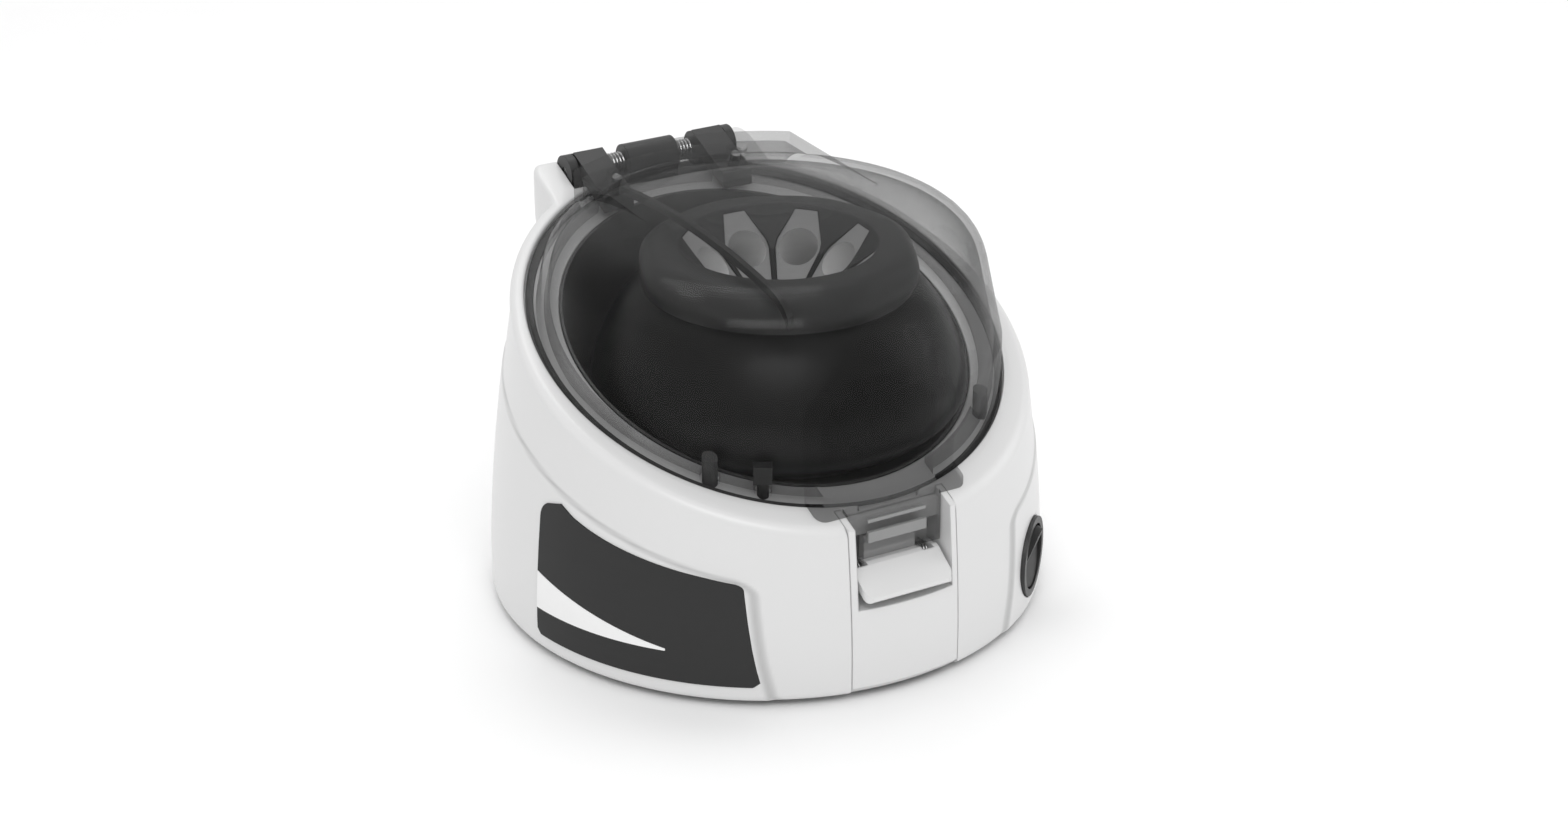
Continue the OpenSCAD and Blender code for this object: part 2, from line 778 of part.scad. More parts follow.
// Stiffening rib under the lid top
module lid_rib() color([0.1, 0.1, 0.1]) {
    intersection() {
        difference() {
            lid_solid(lid_t + 0.05);
            lid_solid(lid_t + 2.2);
        }
        block([-22.2, -44, 100], [-20.6, 52, 120]);
    }
}

module lid_catch() color("lightgray") {
    block([-9, tongue_front_y - 1, 43.5], [9, tongue_front_y - 0.02, 46.6]);
    block([-9, tongue_front_y - 0.6, 49.2], [9, tongue_front_y - 0.02, 50.2]);
}

module lid_bumper_rods(r) {
    for (a = [-43, 43]) about_body(30) rotate([0, 0, a]) translate([0, lid_t + 1.7 - lid_seat_r, 0])
        cylinder(h = 60, r = r);
}

module lid_bumpers() color([0.2, 0.2, 0.2]) {
    intersection() {
        lid_bumper_rods(2.1);
        lid_solid(lid_t + 0.02);
        above_rim(-ledge_drop + 0.1);
        below_rim(5);
    }
}

// ---- Latch ----

module latch_lever() color("white") {
    difference() {
        union() {
            rod_x(-lever_w / 2, lever_w / 2, latch_y, latch_z, lever_hub_r);
            rotate([90, 0, 90]) linear_extrude(height = 16, center = true) polygon([
                [-59.6, latch_z], [-59.6, 41.6], [-60.2, 41.8], [-60.2, 42.6], [-59.4, 43.6], [-57.4, 43.6],
                [-57, latch_z]
            ]);
            intersection() {
                rotate([90, 0, 90]) linear_extrude(height = lever_w, center = true) polygon([
                    [-59.4, 36.6], [-61.6, 37.1], [-63, 36.7], [-71.2, 31.4], [lever_tip_y, 30.4], [-70.8, 29.8],
                    [-69.9, 29.9], [-61.6, 34.2], [-60, 32.6], [-58.5, 32.2]
                ]);
                union() {
                    block([-lever_w / 2, -68.6, 20], [lever_w / 2, -50, 50]);
                    block([-lever_w / 2 + 3.2, -80, 20], [lever_w / 2 - 3.2, -50, 50]);
                    for (x = [-1, 1]) translate([x * (lever_w / 2 - 3.2), -68.6, 20]) cylinder(h = 30, r = 3.2);
                }
            }
        }
        rod_x(-20, 20, latch_y, latch_z, pin_bore_r);
        for (x = [-12, 8.6]) rod_x(x, x + 3.4, latch_y, latch_z, 5);
    }
}

module latch_pin() color("silver") {
    rod_x(-15.9, 15.9, latch_y, latch_z, pin_r);
}

module latch_spring() color("silver") {
    for (side = [0, 1]) mirror([side, 0, 0])
        wire(coil_x(9, latch_y, latch_z, 2.2, 0.8, 3, 90, 90, 2.5), 0.3);
}

// ---- Rotor ----

module rotor_outline() {
    w = rotor_r / 52.2;
    top = rotor_top_z;
    polygon(concat(
        [[hub_r + 0.05, 50], [hub_r + 0.05, top - 19.4], [27.9, top]],
        arc([29.2, top - 1.4], 1.4, 90, 80, 1),
        arc([33.2, top - 6.4], 6, 70, 0, 6),
        [[39.2, 97.4], [38.6, 95.2], [37.4, 93.6]],
        [for (p = [[40.6, 91.4], [43.4, 88.2], [46, 84.4], [48.4, 80], [50.4, 75.2], [51.7, 70.6], [52.2, 66.4],
            [50.6, 61.8], [48, 58.6], [44, 55], [39, 52], [35, 51]]) [p[0] * w, p[1]]],
        [[32, 56], [14, 62], [14, 50]]
    ));
}

// Places children on a tube seat: +Z along the tube towards its mouth, +Y away from the rotor axis
module on_seats() {
    for (i = [0:tube_count - 1]) rotate([0, 0, seat_turn + i * 360 / tube_count])
        translate([0, seat_r, seat_z]) rotate([tube_tilt, 0, 0]) children();
}

module seat_outline(inset) {
    polygon([[-3.3 + inset, 11.4 - inset], [3.3 - inset, 11.4 - inset], [6.5 - inset, 1.6], [6.5 - inset, -1],
        [3.9 - inset, -10.4 + inset], [-3.9 + inset, -10.4 + inset], [-6.5 + inset, -1], [-6.5 + inset, 1.6]]);
}

module rotor_body() color([0.08, 0.08, 0.08]) {
    difference() {
        rotate_extrude() rotor_outline();
        on_seats() translate([0, 0, -sleeve_t]) linear_extrude(height = 14) seat_outline(0);
        on_seats() translate([0, 0, -tube_bore_depth - 1.3]) cylinder(h = tube_bore_depth + 5, r = tube_bore_r + 0.85);
    }
}

module tube_sleeves() color("silver") {
    cone_h = 10;
    on_seats() difference() {
        union() {
            translate([0, 0, -sleeve_t + 0.05]) linear_extrude(height = sleeve_t - 0.05) seat_outline(0.08);
            translate([0, 0, -tube_bore_depth - 1]) cylinder(h = tube_bore_depth + 0.5, r = tube_bore_r + 0.75);
        }
        translate([0, 0, -tube_bore_depth + cone_h]) cylinder(h = tube_bore_depth, r = tube_bore_r);
        translate([0, 0, -tube_bore_depth]) cylinder(h = cone_h + 0.01, r1 = 2, r2 = tube_bore_r);
    }
}

module rotor_hub() color("silver") {
    difference() {
        translate([0, 0, 50]) cylinder(h = 34, r = hub_r);
        translate([0, 0, 40]) cylinder(h = 60, r = shaft_r + 0.02);
    }
}

module rotor_nut() color("lightgray") {
    translate([0, 0, 84.05]) difference() {
        union() {
            cylinder(h = 0.9, r = 6.4);
            cylinder(h = 3.6, r = 5, $fn = 6);
        }
        translate([0, 0, -1]) cylinder(h = 10, r = 2.05);
    }
}

// Moves a sub-part so that the origin lies midway between the lever tip and the back of the housing
module placed() {
    translate([0, -(lever_tip_y + body_y + body_r) / 2, 0]) children();
}

// Turns a lid part about the hinge pin, for a look at the open centrifuge
module with_lid() {
    translate([0, hinge_y, hinge_z]) rotate([-lid_open_deg, 0, 0]) translate([0, -hinge_y, -hinge_z]) children();
}

placed() main_housing();
placed() base_plate();
placed() front_panel();
placed() label_plate();
placed() label_stripe();
placed() chamber_bowl();
placed() rim_seal();
placed() motor_can();
placed() motor_magnets();
placed() motor_end_cap();
placed() motor_bearings();
placed() motor_mount_plate();
placed() motor_bushes();
placed() motor_screws();
placed() bush_screws();
placed() circuit_board();
placed() board_components();
placed() board_screws();
placed() dc_socket();
placed() wiring();
placed() switch_bezel();
placed() switch_body();
placed() interlock_switch();
placed() rubber_feet();
placed() base_screws();
placed() hinge_bracket();
placed() hinge_pin();
placed() lid_springs();
placed() latch_pin();
placed() latch_spring();
placed() with_lid() lid_shell();
placed() with_lid() lid_rib();
placed() with_lid() lid_catch();
placed() with_lid() lid_hinge_arms();
placed() with_lid() lid_screws();
placed() with_lid() lid_bumpers();
placed() with_lid() lid_pusher();
placed() motor_shaft();
placed() motor_armature();
placed() commutator();
placed() rotor_hub();
placed() rotor_body();
placed() tube_sleeves();
placed() rotor_nut();
placed() latch_lever();
placed() switch_rocker();
placed() interlock_plunger();
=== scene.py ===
import json
from math import cos, pi, radians, sin, sqrt, tan

import bmesh
import bpy
from mathutils import Matrix, Vector


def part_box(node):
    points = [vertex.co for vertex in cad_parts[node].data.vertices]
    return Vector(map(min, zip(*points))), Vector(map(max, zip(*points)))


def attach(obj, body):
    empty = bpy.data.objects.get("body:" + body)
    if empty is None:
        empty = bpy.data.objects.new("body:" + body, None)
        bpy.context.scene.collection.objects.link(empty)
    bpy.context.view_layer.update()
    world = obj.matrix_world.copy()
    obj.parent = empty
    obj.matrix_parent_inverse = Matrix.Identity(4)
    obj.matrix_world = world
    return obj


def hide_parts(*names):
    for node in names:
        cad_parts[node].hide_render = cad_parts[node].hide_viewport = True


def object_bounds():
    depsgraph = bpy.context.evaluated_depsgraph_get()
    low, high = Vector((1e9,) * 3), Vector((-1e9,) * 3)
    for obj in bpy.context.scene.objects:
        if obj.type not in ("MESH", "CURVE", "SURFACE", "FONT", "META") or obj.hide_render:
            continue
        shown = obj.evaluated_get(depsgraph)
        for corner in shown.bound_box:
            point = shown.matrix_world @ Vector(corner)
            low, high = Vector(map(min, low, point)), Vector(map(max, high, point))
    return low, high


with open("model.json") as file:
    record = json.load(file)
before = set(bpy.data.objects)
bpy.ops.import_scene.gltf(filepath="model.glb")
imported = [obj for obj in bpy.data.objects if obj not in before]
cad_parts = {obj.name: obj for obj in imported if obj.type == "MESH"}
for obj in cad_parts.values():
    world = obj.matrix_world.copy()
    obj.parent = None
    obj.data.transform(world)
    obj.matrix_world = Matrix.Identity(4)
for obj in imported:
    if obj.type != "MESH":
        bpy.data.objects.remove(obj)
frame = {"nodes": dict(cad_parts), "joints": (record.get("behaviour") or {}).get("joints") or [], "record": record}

# Compact laboratory centrifuge. Lengths are in millimetres unless a name or comment says otherwise,
# heights are above the table, and pieces are drawn with the rotor axis on Z.

cad_low, cad_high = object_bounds()

MM = 0.001
TILT = radians(20.8)       # slope of the rim, rising from the latch to the hinge
SLOPE = tan(TILT)


def joint(name):
    return next(j for j in frame["joints"] if j["name"] == name)


# Place of the rotor axis in the shared frame
SHIFT = Vector((0, joint("rotor_spin")["pos_m"][1] / MM, 0))
HINGE = Vector(joint("lid_hinge")["pos_m"]) / MM - SHIFT
bowl_low, bowl_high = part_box("chamber_bowl")
CENTRE_Y = (bowl_low.y + bowl_high.y) / 2 / MM - SHIFT.y
CHEEK = 0.5                # height of the raised side fields
BODY_R = cad_high.x / MM - CHEEK
RIM_Z = HINGE.z - SLOPE * HINGE.y
GAP_R = 66.5               # gap between the lid and the housing
ROTOR_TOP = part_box("rotor_body")[1].z / MM
ROTOR_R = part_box("rotor_body")[1].x / MM


def rim(y, offset=0.0):
    """Height of the sloping rim plane at y, moved square to itself by offset."""
    return RIM_Z + SLOPE * y + offset / cos(TILT)


def smooth(t):
    """Eased step from 0 to 1 as t goes from 0 to 1."""
    t = min(1.0, max(0.0, t))
    return t * t * (3 - 2 * t)


# ---------------------------------------------------------------- materials

def grey(v):
    """Linear value of an sRGB grey."""
    return v / 12.92 if v <= 0.04045 else ((v + 0.055) / 1.055) ** 2.4


def tone(v):
    """Linear colour of an sRGB grey or an sRGB triple."""
    v = (v, v, v) if isinstance(v, (int, float)) else v
    return tuple(grey(c) for c in v) + (1.0,)


def surface(name, color, rough=0.4, metal=0.0, grain=0.0, grain_scale=1500.0, vary=0.04, edge=0.0,
            coat=0.0, streak=None, spec=0.5):
    """A procedural finish: colour and roughness drift slowly, fine grain in the bump, softened edges.

    edge is the softened radius in millimetres, streak the stretch of the drift along X, Y and Z.
    """
    m = bpy.data.materials.new(name)
    m.use_nodes = True
    t = m.node_tree
    b = t.nodes["Principled BSDF"]
    coords = t.nodes.new("ShaderNodeTexCoord")
    drift = t.nodes.new("ShaderNodeTexNoise")
    drift.inputs["Scale"].default_value = 35.0
    drift.inputs["Detail"].default_value = 3.0
    source = coords.outputs["Object"]
    if streak is not None:
        mapping = t.nodes.new("ShaderNodeMapping")
        mapping.inputs["Scale"].default_value = streak
        t.links.new(source, mapping.inputs["Vector"])
        source = mapping.outputs["Vector"]
    t.links.new(source, drift.inputs["Vector"])
    mix = t.nodes.new("ShaderNodeMix")
    mix.data_type = "RGBA"
    c = tone(color)
    mix.inputs[6].default_value = tuple(x * (1 - vary) for x in c[:3]) + (1.0,)
    mix.inputs[7].default_value = tuple(min(1.0, x * (1 + vary)) for x in c[:3]) + (1.0,)
    t.links.new(drift.outputs["Fac"], mix.inputs["Factor"])
    t.links.new(mix.outputs[2], b.inputs["Base Color"])
    ramp = t.nodes.new("ShaderNodeMapRange")
    ramp.inputs["To Min"].default_value = max(0.02, rough * 0.88)
    ramp.inputs["To Max"].default_value = min(1.0, rough * 1.12)
    t.links.new(drift.outputs["Fac"], ramp.inputs["Value"])
    t.links.new(ramp.outputs["Result"], b.inputs["Roughness"])
    b.inputs["Metallic"].default_value = metal
    b.inputs["Specular IOR Level"].default_value = spec
    b.inputs["Coat Weight"].default_value = coat
    b.inputs["Coat Roughness"].default_value = 0.15
    normal = None
    if edge > 0:
        bevel = t.nodes.new("ShaderNodeBevel")
        bevel.samples = 4
        bevel.inputs["Radius"].default_value = edge * MM
        normal = bevel.outputs["Normal"]
    if grain > 0:
        noise = t.nodes.new("ShaderNodeTexNoise")
        noise.inputs["Scale"].default_value = grain_scale
        noise.inputs["Detail"].default_value = 2.0
        t.links.new(coords.outputs["Object"] if streak is None else source, noise.inputs["Vector"])
        bump = t.nodes.new("ShaderNodeBump")
        bump.inputs["Strength"].default_value = grain
        bump.inputs["Distance"].default_value = 0.05 * MM
        t.links.new(noise.outputs["Fac"], bump.inputs["Height"])
        if normal is not None:
            t.links.new(normal, bump.inputs["Normal"])
        normal = bump.outputs["Normal"]
    if normal is not None:
        t.links.new(normal, b.inputs["Normal"])
    return m


def smoked(name, face, edge, gloss=0.9):
    """Clear smoked plastic: light passes straight through, less where the wall is seen edge-on."""
    m = bpy.data.materials.new(name)
    m.use_nodes = True
    t = m.node_tree
    t.nodes.clear()
    out = t.nodes.new("ShaderNodeOutputMaterial")
    weight = t.nodes.new("ShaderNodeLayerWeight")
    weight.inputs["Blend"].default_value = 0.5
    drift = t.nodes.new("ShaderNodeTexNoise")
    drift.inputs["Scale"].default_value = 30.0
    coords = t.nodes.new("ShaderNodeTexCoord")
    t.links.new(coords.outputs["Object"], drift.inputs["Vector"])
    ramp = t.nodes.new("ShaderNodeValToRGB")
    ramp.color_ramp.elements[0].position = 0.45
    ramp.color_ramp.elements[0].color = tone(face)
    ramp.color_ramp.elements[1].position = 0.97
    ramp.color_ramp.elements[1].color = tone(edge)
    t.links.new(weight.outputs["Facing"], ramp.inputs["Fac"])
    clear = t.nodes.new("ShaderNodeBsdfTransparent")
    t.links.new(ramp.outputs["Color"], clear.inputs["Color"])
    shine = t.nodes.new("ShaderNodeBsdfGlossy")
    shine.inputs["Color"].default_value = (gloss, gloss, gloss, 1.0)
    rough = t.nodes.new("ShaderNodeMapRange")
    rough.inputs["To Min"].default_value = 0.03
    rough.inputs["To Max"].default_value = 0.07
    t.links.new(drift.outputs["Fac"], rough.inputs["Value"])
    t.links.new(rough.outputs["Result"], shine.inputs["Roughness"])
    power = t.nodes.new("ShaderNodeMath")
    power.operation = "POWER"
    power.inputs[1].default_value = 5.0
    t.links.new(weight.outputs["Facing"], power.inputs[0])
    share = t.nodes.new("ShaderNodeMath")
    share.operation = "MULTIPLY_ADD"
    share.inputs[1].default_value = 0.4
    share.inputs[2].default_value = 0.006
    t.links.new(power.outputs["Value"], share.inputs[0])
    mix = t.nodes.new("ShaderNodeMixShader")
    t.links.new(share.outputs["Value"], mix.inputs["Fac"])
    t.links.new(clear.outputs["BSDF"], mix.inputs[1])
    t.links.new(shine.outputs["BSDF"], mix.inputs[2])
    t.links.new(mix.outputs["Shader"], out.inputs["Surface"])
    return m


WHITE = surface("white_moulding", 0.85, 0.34, grain=0.12, vary=0.008, edge=0.5, coat=0.15)
CREASE_NAME = "crease"
CREASE_MIDDLE = 0.35       # darkest place across the step, as a share of its width
CREASE_HALF = 0.75         # how far the darkening reaches, in the same measure


def crease_shadow(m, depth):
    """Darkens the step at the edge of the side fields, where little light reaches."""
    t = m.node_tree
    b = t.nodes["Principled BSDF"]
    colour = b.inputs["Base Color"].links[0].from_socket
    mask = t.nodes.new("ShaderNodeAttribute")
    mask.attribute_name = CREASE_NAME
    share = t.nodes.new("ShaderNodeMath")
    share.operation = "MULTIPLY"
    share.inputs[1].default_value = depth
    t.links.new(mask.outputs["Fac"], share.inputs[0])
    mix = t.nodes.new("ShaderNodeMix")
    mix.data_type = "RGBA"
    mix.inputs[7].default_value = tone(0.45)
    t.links.new(share.outputs["Value"], mix.inputs["Factor"])
    t.links.new(colour, mix.inputs[6])
    t.links.new(mix.outputs[2], b.inputs["Base Color"])


crease_shadow(WHITE, 0.45)
PANEL = surface("panel_moulding", 0.85, 0.36, grain=0.12, vary=0.008, edge=0.6, coat=0.15)
BASE = surface("base_moulding", 0.70, 0.55, grain=0.3, vary=0.02, edge=0.4)
LABEL = surface("label_film", 0.18, 0.6, grain=0.05, grain_scale=4000, vary=0.03, edge=0.2, spec=0.25)
STRIPE = surface("stripe_film", 0.93, 0.45, vary=0.01)
BOWL = surface("bowl_moulding", 0.30, 0.42, vary=0.04, edge=0.4)
SEAL = surface("seal_rubber", 0.30, 0.75, grain=0.4, vary=0.06, edge=0.3)
STEEL = surface("motor_steel", 0.72, 0.32, metal=1.0, grain=0.2, vary=0.05, edge=0.2)
FERRITE = surface("ferrite", 0.22, 0.8, grain=0.5, vary=0.08, edge=0.2)
CAP = surface("end_cap_moulding", (0.86, 0.86, 0.82), 0.5, grain=0.2, edge=0.2)
BRONZE = surface("bronze", (0.72, 0.52, 0.3), 0.4, metal=1.0, grain=0.3, vary=0.08, edge=0.1)
SCREW = surface("screw_steel", 0.66, 0.35, metal=1.0, grain=0.15, vary=0.05, edge=0.15)
BOARD = surface("board_laminate", (0.06, 0.33, 0.15), 0.35, grain=0.1, vary=0.1, coat=0.3)
COMPONENT = surface("component_moulding", 0.13, 0.5, grain=0.2, vary=0.1, edge=0.2)
DARK = surface("dark_moulding", 0.16, 0.42, grain=0.03, grain_scale=4000, vary=0.06, edge=0.3)
WIRE = surface("wire_cover", (0.62, 0.10, 0.08), 0.4, vary=0.05)
FOOT = surface("foot_rubber", 0.2, 0.85, grain=0.5, vary=0.06, edge=0.3)
PIN = surface("pin_steel", 0.74, 0.25, metal=1.0, grain=0.1, vary=0.04, streak=(200, 20, 20), edge=0.1)
LIGHT = surface("light_moulding", 0.54, 0.4, grain=0.1, vary=0.02, edge=0.3)
CORE = surface("core_steel", (0.5, 0.33, 0.24), 0.45, metal=0.8, grain=0.4, vary=0.1, streak=(1, 1, 900))
ALU = surface("aluminium", 0.78, 0.3, metal=1.0, grain=0.2, vary=0.04, edge=0.2)
ROTOR = surface("rotor_moulding", 0.09, 0.34, vary=0.04, edge=0.5, spec=0.3)
RING = surface("rotor_ring", 0.22, 0.5, grain=0.04, grain_scale=4000, vary=0.04, edge=0.5)
SEAT = surface("seat_moulding", 0.70, 0.45, grain=0.05, grain_scale=4000, vary=0.02, edge=0.25)
# Near-white bore colour: painted light against the shade inside the tube bores.
BORE = surface("bore_painted_light", 0.97, 0.6, vary=0.01)
ROCKER = surface("rocker_moulding", 0.10, 0.5, grain=0.04, spec=0.25, vary=0.05, edge=0.4)
SMOKED = smoked("smoked_lid", 0.915, 0.72)
# Darker tint of the tongue: partly darker smoke, partly painted shade.
TONGUE = smoked("smoked_tongue_painted_shade", 0.87, 0.70)

FINISH = {
    "white_moulding": WHITE, "base_moulding": BASE, "label_film": LABEL, "stripe_film": STRIPE,
    "bowl_moulding": BOWL, "seal_rubber": SEAL, "motor_steel": STEEL, "ferrite": FERRITE,
    "end_cap_moulding": CAP, "bronze": BRONZE, "screw_steel": SCREW, "board_laminate": BOARD,
    "component_moulding": COMPONENT, "dark_moulding": DARK, "wire_cover": WIRE, "foot_rubber": FOOT,
    "pin_steel": PIN, "smoked_lid": SMOKED, "light_moulding": LIGHT, "core_steel": CORE, "aluminium": ALU,
    "rotor_moulding": ROTOR, "seat_moulding": SEAT, "rocker_moulding": ROCKER,
}

SLOTS = {s["node"]: s["material_slot"] for s in frame["record"]["subparts"]}


def shade(o, angle=28.0):
    """Smooth shading with hard edges where faces meet at more than the angle."""
    mesh = o.data
    if "custom_normal" in mesh.attributes:
        mesh.attributes.remove(mesh.attributes["custom_normal"])
    mesh.shade_smooth()
    b = bmesh.new()
    b.from_mesh(mesh)
    sharp = [e.index for e in b.edges if len(e.link_faces) != 2 or e.calc_face_angle(0.0) > radians(angle)]
    b.free()
    flags = [False] * len(mesh.edges)
    for i in sharp:
        flags[i] = True
    attribute = mesh.attributes.get("sharp_edge") or mesh.attributes.new("sharp_edge", "BOOLEAN", "EDGE")
    attribute.data.foreach_set("value", flags)
    mesh.update()


for node, o in frame["nodes"].items():
    o.data.materials.clear()
    o.data.materials.append(FINISH[SLOTS[node]])
frame["nodes"]["front_panel"].data.materials[0] = PANEL


# ---------------------------------------------------------------- mesh helpers

def mesh_object(name, verts, faces, body, mat):
    """A piece made of the given points and faces, moving with a body."""
    mesh = bpy.data.meshes.new(name)
    mesh.from_pydata([(Vector(v) + SHIFT) * MM for v in verts], [], faces)
    mesh.validate()
    b = bmesh.new()
    b.from_mesh(mesh)
    bmesh.ops.recalc_face_normals(b, faces=b.faces)
    b.to_mesh(mesh)
    b.free()
    o = bpy.data.objects.new(name, mesh)
    bpy.context.scene.collection.objects.link(o)
    mesh.materials.append(mat)
    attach(o, body)
    return o


def turned(name, profile, steps, body, mat, centre_y=0.0):
    """A closed ring mesh. profile(a) gives the [r, z] loop at angle a."""
    verts, faces = [], []
    rows = 0
    for i in range(steps):
        a = 2 * pi * i / steps
        loop = profile(a)
        rows = len(loop)
        verts += [(r * cos(a), centre_y + r * sin(a), z) for r, z in loop]
    for i in range(steps):
        k = (i + 1) % steps
        for j in range(rows):
            n = (j + 1) % rows
            faces.append((i * rows + j, k * rows + j, k * rows + n, i * rows + n))
    return mesh_object(name, verts, faces, body, mat)


def prism(points, low, high):
    """Closed prism of a counter-clockwise outline between two heights along local Z."""
    n = len(points)
    verts = [(x, y, low) for x, y in points] + [(x, y, high) for x, y in points]
    faces = [tuple(reversed(range(n))), tuple(range(n, 2 * n))]
    faces += [(i, (i + 1) % n, n + (i + 1) % n, n + i) for i in range(n)]
    return verts, faces


def circle(r, steps=48):
    """Outline of a circle for prism()."""
    return [(r * cos(2 * pi * i / steps), r * sin(2 * pi * i / steps)) for i in range(steps)]


def cutter(parts):
    """One hidden mesh made of several closed solids, each (verts, faces, matrix)."""
    b = bmesh.new()
    for verts, faces, matrix in parts:
        made = [b.verts.new((matrix @ Vector(v) + SHIFT) * MM) for v in verts]
        for f in faces:
            b.faces.new([made[i] for i in f])
    bmesh.ops.recalc_face_normals(b, faces=b.faces)
    mesh = bpy.data.meshes.new("cutter")
    b.to_mesh(mesh)
    b.free()
    o = bpy.data.objects.new("cutter", mesh)
    bpy.context.scene.collection.objects.link(o)
    return o


def block(x0, x1, y0, y1, z0, z1):
    """A box for boolean()."""
    verts, faces = prism([(x0, y0), (x1, y0), (x1, y1), (x0, y1)], z0, z1)
    return verts, faces, Matrix.Identity(4)


def apply_modifiers(o):
    """Replaces the mesh with the one its modifiers give."""
    dg = bpy.context.evaluated_depsgraph_get()
    mesh = bpy.data.meshes.new_from_object(o.evaluated_get(dg))
    o.modifiers.clear()
    o.data = mesh


def boolean(o, parts):
    """Cuts closed solids, each (verts, faces, matrix), out of an object."""
    c = cutter(parts)
    m = o.modifiers.new("cut", "BOOLEAN")
    m.operation = "DIFFERENCE"
    m.solver = "MANIFOLD"
    m.object = c
    apply_modifiers(o)
    bpy.data.objects.remove(c)


# ---------------------------------------------------------------- housing

FOOT_Z = 2.0               # lower edge of the housing
FOOT_EDGE = 2.0            # rounding of the lower edge
WALL_START = 12.0          # the wall is upright up to here
WALL_SPAN = 73.0           # this much higher it has drawn in by WALL_DROP
WALL_DROP = 7.7
SHOULDER_R = 70.5          # least radius of the wall
WALL = 2.5                 # thickness of the wall
RIM_EDGE = 2.6             # rounding of the outer edge of the rim
LEDGE_DROP = 2.0           # depth of the ledge under the lid, below the rim
LEDGE = 3.0                # thickness of the ledge
CHAMBER_R = 57.0           # opening into the chamber

FIELD_STEP = 1.1           # width of the step at the edge of a side field
FIELD_FRONT = -62.2        # front edge of the field at table level
FIELD_LEAN = 0.115         # how far the front edge leans back for each millimetre of height
FIELD_TOP_Y = -55.7        # front end of the top edge
FIELD_TOP_Z = 37.4
FIELD_RISE = 0.327         # slope of the top edge
FIELD_SQUARE = 0.95        # distance from the top edge for each millimetre below it
FIELD_BACK = 62.0
FIELD_CORNER = 3.0         # radius where the front edge meets the top edge

BULGE_Y = 84.0             # rear face of the swelling that carries the hinge
BULGE_LOW = 62.0           # height at which it begins
BULGE_RISE = 30.0          # it is full this much higher
BULGE_HALF = 27.5          # half of its full width
BULGE_FADE = 9.0           # width over which it runs out into the wall
BULGE_ZONE = 40.0          # it lies behind this Y and within this X
BULGE_SINE = 0.6           # keeps its reach finite towards the sides


def wall_r(z):
    """Radius of the plain wall at height z."""
    return max(BODY_R - WALL_DROP * (max(0.0, z - WALL_START) / WALL_SPAN) ** 1.5, SHOULDER_R)


def field_inset(y, z):
    """Distance of a point on the wall inside the outline of the raised side field; negative outside it."""
    front = y - FIELD_FRONT - FIELD_LEAN * z
    top = (FIELD_TOP_Z + FIELD_RISE * (y - FIELD_TOP_Y) - z) * FIELD_SQUARE
    back = FIELD_BACK - y
    a, b = FIELD_CORNER - front, FIELD_CORNER - top
    inside = FIELD_CORNER - sqrt(a ** 2 + b ** 2) if a > 0 and b > 0 else min(front, top)
    return min(inside, back)


def cheek(y, z):
    """Height of the raised side field above the wall: full inside, falling to nothing over a soft step."""
    return CHEEK * smooth(field_inset(y, z) / FIELD_STEP)


def bulge(x, z):
    """Share of the swelling at a place on the rear wall, from 0 to 1."""
    return smooth((z - BULGE_LOW) / BULGE_RISE) * (1 - smooth((abs(x) - BULGE_HALF) / BULGE_FADE))


def outer_r(a, z):
    """Radius of the outside of the housing in the direction a at height z."""
    w = wall_r(z)
    x, y = w * cos(a), CENTRE_Y + w * sin(a)
    w += cheek(y, z)
    if y > BULGE_ZONE and abs(x) < BULGE_ZONE:
        reach = (BULGE_Y - CENTRE_Y) / max(BULGE_SINE, sin(a))
        w += max(0.0, reach - w) * bulge(x, z)
    return w


def housing_profile(a):
    """Section of the housing at angle a: lower edge, outside, rim, gap, ledge and inside."""

    def at(r, offset):
        return rim(CENTRE_Y + r * sin(a), offset)

    pts = []
    foot_top = FOOT_Z + FOOT_EDGE
    for k in range(5):
        t = k / 4 * pi / 2
        pts.append((outer_r(a, foot_top) - FOOT_EDGE * (1 - sin(t)), FOOT_Z + FOOT_EDGE * (1 - cos(t))))
    z_top = at(outer_r(a, at(BODY_R - 6, 0)), -RIM_EDGE)
    rows = 78
    for k in range(1, rows + 1):
        z = foot_top + (z_top - foot_top) * k / rows
        pts.append((outer_r(a, z), z))
    r_top = outer_r(a, z_top)
    for k in range(1, 9):
        t = k / 8 * pi / 2
        r = r_top - RIM_EDGE * (1 - cos(t))
        pts.append((r, at(r, -RIM_EDGE * (1 - sin(t)))))
    for k in range(1, 4):
        r = r_top - RIM_EDGE + (GAP_R + 0.5 - r_top + RIM_EDGE) * k / 3
        pts.append((r, at(r, 0)))
    pts += [(GAP_R + 0.15, at(GAP_R, -0.15)), (GAP_R, at(GAP_R, -0.5)), (GAP_R, at(GAP_R, -LEDGE_DROP))]
    pts.append((CHAMBER_R + 0.5, at(CHAMBER_R, -LEDGE_DROP)))
    pts.append((CHAMBER_R + 0.15, at(CHAMBER_R, -LEDGE_DROP - 0.15)))
    pts += [(CHAMBER_R, at(CHAMBER_R, -LEDGE_DROP - 0.5)), (CHAMBER_R, at(CHAMBER_R, -LEDGE_DROP - LEDGE))]
    deep = outer_r(a, at(BODY_R - 8, -6)) - WALL
    z_deep = at(deep, -LEDGE_DROP - LEDGE)
    pts.append((deep, z_deep))
    for k in range(1, 7):
        z = z_deep + (FOOT_Z + 1 - z_deep) * k / 6
        pts.append((outer_r(a, max(z, foot_top)) - WALL, z))
    pts.append((outer_r(a, foot_top) - WALL, FOOT_Z))
    return pts


def on_wall(deg, z):
    """Matrix of the wall at an angle from the latch: +Z outward, +Y up."""
    return (Matrix.Translation((0, CENTRE_Y, z)) @ Matrix.Rotation(radians(deg), 4, "Z")
            @ Matrix.Rotation(radians(90), 4, "X"))


